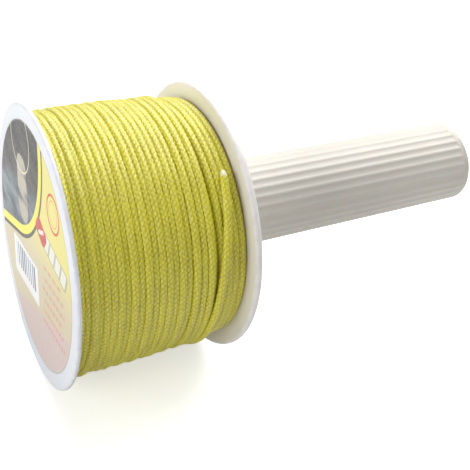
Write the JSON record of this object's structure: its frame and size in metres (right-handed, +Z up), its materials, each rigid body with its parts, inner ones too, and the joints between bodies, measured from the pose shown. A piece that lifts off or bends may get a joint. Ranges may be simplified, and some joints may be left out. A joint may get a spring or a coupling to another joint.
{
  "type": "fishing line spool",
  "caption": "Hand spool of thick neon yellow braided line, with white flanges and a ribbed tubular handle that the spool turns freely on.",
  "frame": {"origin": "on the surface that the spool lies on, under the middle of the object's length", "axes": "+X along the spin axis from the labelled front flange towards the handle's free end, +Z up, +Y to the left of that direction"},
  "size_m": [0.1666, 0.09, 0.09],
  "materials": {
    "front_flange": "smooth moulded, cool white",
    "rear_flange": "smooth moulded, warm white",
    "barrel": "moulded white tube",
    "bush": "natural acetal",
    "spindle": "natural nylon",
    "thrust_washer": "smooth nylon",
    "steel": "zinc plated",
    "hub_cover": "moulded white",
    "label": "printed gloss sticker",
    "line": "eight-strand braid, neon yellow",
    "handle": "satin moulded, warm white"
  },
  "bodies": {
    "handle": {"handle_grip": "handle", "end_cap": "handle", "spindle": "spindle", "thrust_washer": "thrust_washer", "retaining_washer": "steel", "retaining_screw": "steel"},
    "spool": {"front_flange": "front_flange", "rear_flange": "rear_flange", "barrel": "barrel", "front_bush": "bush", "rear_bush": "bush", "hub_cover": "hub_cover", "label": "label", "line_winding": "line", "line_tail": "line", "anchor_knot": "line"}
  },
  "joints": [
    {"name": "spool_spin", "type": "hinge", "parent": "handle", "child": "spool", "pos_m": [0, 0, 0.045], "axis": [1, 0, 0], "continuous": true}
  ]
}
